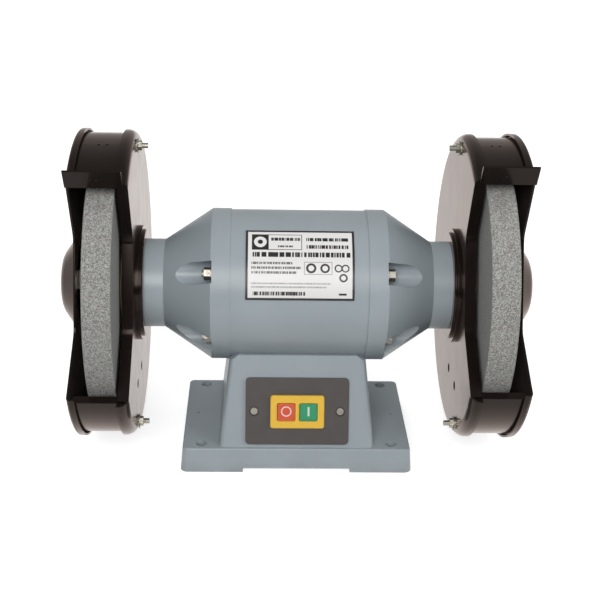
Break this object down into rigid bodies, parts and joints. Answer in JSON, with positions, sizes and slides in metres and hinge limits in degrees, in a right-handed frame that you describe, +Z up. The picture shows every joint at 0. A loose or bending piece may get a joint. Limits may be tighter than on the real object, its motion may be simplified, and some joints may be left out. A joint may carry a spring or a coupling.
{
  "type": "bench grinder",
  "caption": "Bench grinder with a wheel at each end of a horizontal motor, painted guards, spark arresters, and a cast pedestal with a push-button switch.",
  "frame": {"origin": "centre of the base's underside, on the bench top", "axes": "+X along the shaft to the operator's right, -Y towards the operator, +Z up"},
  "size_m": [0.44, 0.2801, 0.3013],
  "materials": {
    "grey_paint": "satin blue-grey paint with a fine texture",
    "black_paint": "gloss black-brown baked paint",
    "dark_fastener": "blackened screws",
    "zinc": "zinc-plated steel",
    "plate_steel": "plain steel sheet",
    "bearing_steel": "ground bearing steel",
    "cage_brass": "pressed cage",
    "shaft_steel": "turned steel",
    "lamination": "stacked laminations",
    "copper": "varnished copper",
    "cast_aluminium": "cast aluminium",
    "felt": "felt",
    "abrasive": null,
    "blotter_card": "thick card",
    "bush_plastic": "moulded plastic",
    "black_plastic": "moulded black plastic",
    "yellow_plastic": "moulded yellow plastic",
    "red_plastic": "moulded red plastic",
    "green_plastic": "moulded green plastic",
    "label_foil": "printed foil plate"
  },
  "bodies": {
    "frame": {"base_bottom_plate": "plate_steel", "base_pedestal": "grey_paint", "bearing_outer_races": "bearing_steel", "bottom_plate_screws": "zinc", "capacitor": "black_plastic", "capacitor_clamp": "zinc", "cord_gland": "black_plastic", "earth_screw": "zinc", "end_bell_left": "grey_paint", "end_bell_right": "grey_paint", "guard_band_left": "black_paint", "guard_band_right": "black_paint", "guard_cover_left": "black_paint", "guard_cover_right": "black_paint", "guard_mount_ring_left": "black_paint", "guard_mount_ring_right": "black_paint", "guard_mount_screws": "zinc", "guard_plate_left": "black_paint", "guard_plate_right": "black_paint", "guard_screw_nuts": "zinc", "guard_screws": "zinc", "motor_tube": "grey_paint", "nameplate": "label_foil", "saddle_bolts": "zinc", "shaft_seals": "felt", "stator_core": "lamination", "stator_windings": "copper", "switch_body": "black_plastic", "switch_frame": "yellow_plastic", "switch_plate": "black_plastic", "switch_screws": "zinc", "terminal_block": "black_plastic", "tie_bolt_nuts": "zinc", "tie_bolts": "zinc", "wave_washer": "bearing_steel"},
    "rotor": {"shaft": "shaft_steel", "rotor_core": "lamination", "rotor_end_rings": "cast_aluminium", "bearing_inner_races": "bearing_steel", "inner_flange_left": "shaft_steel", "inner_flange_right": "shaft_steel", "outer_flange_left": "shaft_steel", "outer_flange_right": "shaft_steel", "grinding_wheel_left": "abrasive", "grinding_wheel_right": "abrasive", "wheel_bushes": "bush_plastic", "wheel_blotters": "blotter_card", "arbor_nut_left": "zinc", "arbor_nut_right": "zinc"},
    "cage_left": {"bearing_cage_left": "cage_brass", "bearing_balls_left": "bearing_steel"},
    "cage_right": {"bearing_cage_right": "cage_brass", "bearing_balls_right": "bearing_steel"},
    "stop_button": {"stop_button": "red_plastic"},
    "start_button": {"start_button": "green_plastic"},
    "arrester_left": {"spark_arrester_left": "black_paint", "arrester_screws_left": "dark_fastener"},
    "arrester_right": {"spark_arrester_right": "black_paint", "arrester_screws_right": "dark_fastener"}
  },
  "joints": [
    {"name": "shaft_spin", "type": "hinge", "parent": "frame", "child": "rotor", "pos_m": [0, 0.011, 0.1575], "axis": [1, 0, 0], "continuous": true},
    {"name": "cage_left_spin", "type": "hinge", "parent": "frame", "child": "cage_left", "pos_m": [-0.1255, 0.011, 0.1575], "axis": [1, 0, 0], "continuous": true},
    {"name": "cage_right_spin", "type": "hinge", "parent": "frame", "child": "cage_right", "pos_m": [0.1255, 0.011, 0.1575], "axis": [1, 0, 0], "continuous": true},
    {"name": "stop_press", "type": "slide", "parent": "frame", "child": "stop_button", "axis": [0, 0.9602, -0.2791], "range_m": [0, 0.003], "stiffness_N_per_m": 400, "springref_m": -0.002},
    {"name": "start_press", "type": "slide", "parent": "frame", "child": "start_button", "axis": [0, 0.9602, -0.2791], "range_m": [0, 0.003], "stiffness_N_per_m": 400, "springref_m": -0.002},
    {"name": "arrester_left_adjust", "type": "slide", "parent": "frame", "child": "arrester_left", "axis": [0, 0.5075, -0.8616], "range_m": [0, 0.004]},
    {"name": "arrester_right_adjust", "type": "slide", "parent": "frame", "child": "arrester_right", "axis": [0, 0.4462, -0.8949], "range_m": [0, 0.004]}
  ],
  "couplings": [
    {"joint": "cage_left_spin", "follows": "shaft_spin", "ratio": 0.3987},
    {"joint": "cage_right_spin", "follows": "shaft_spin", "ratio": 0.3987}
  ]
}
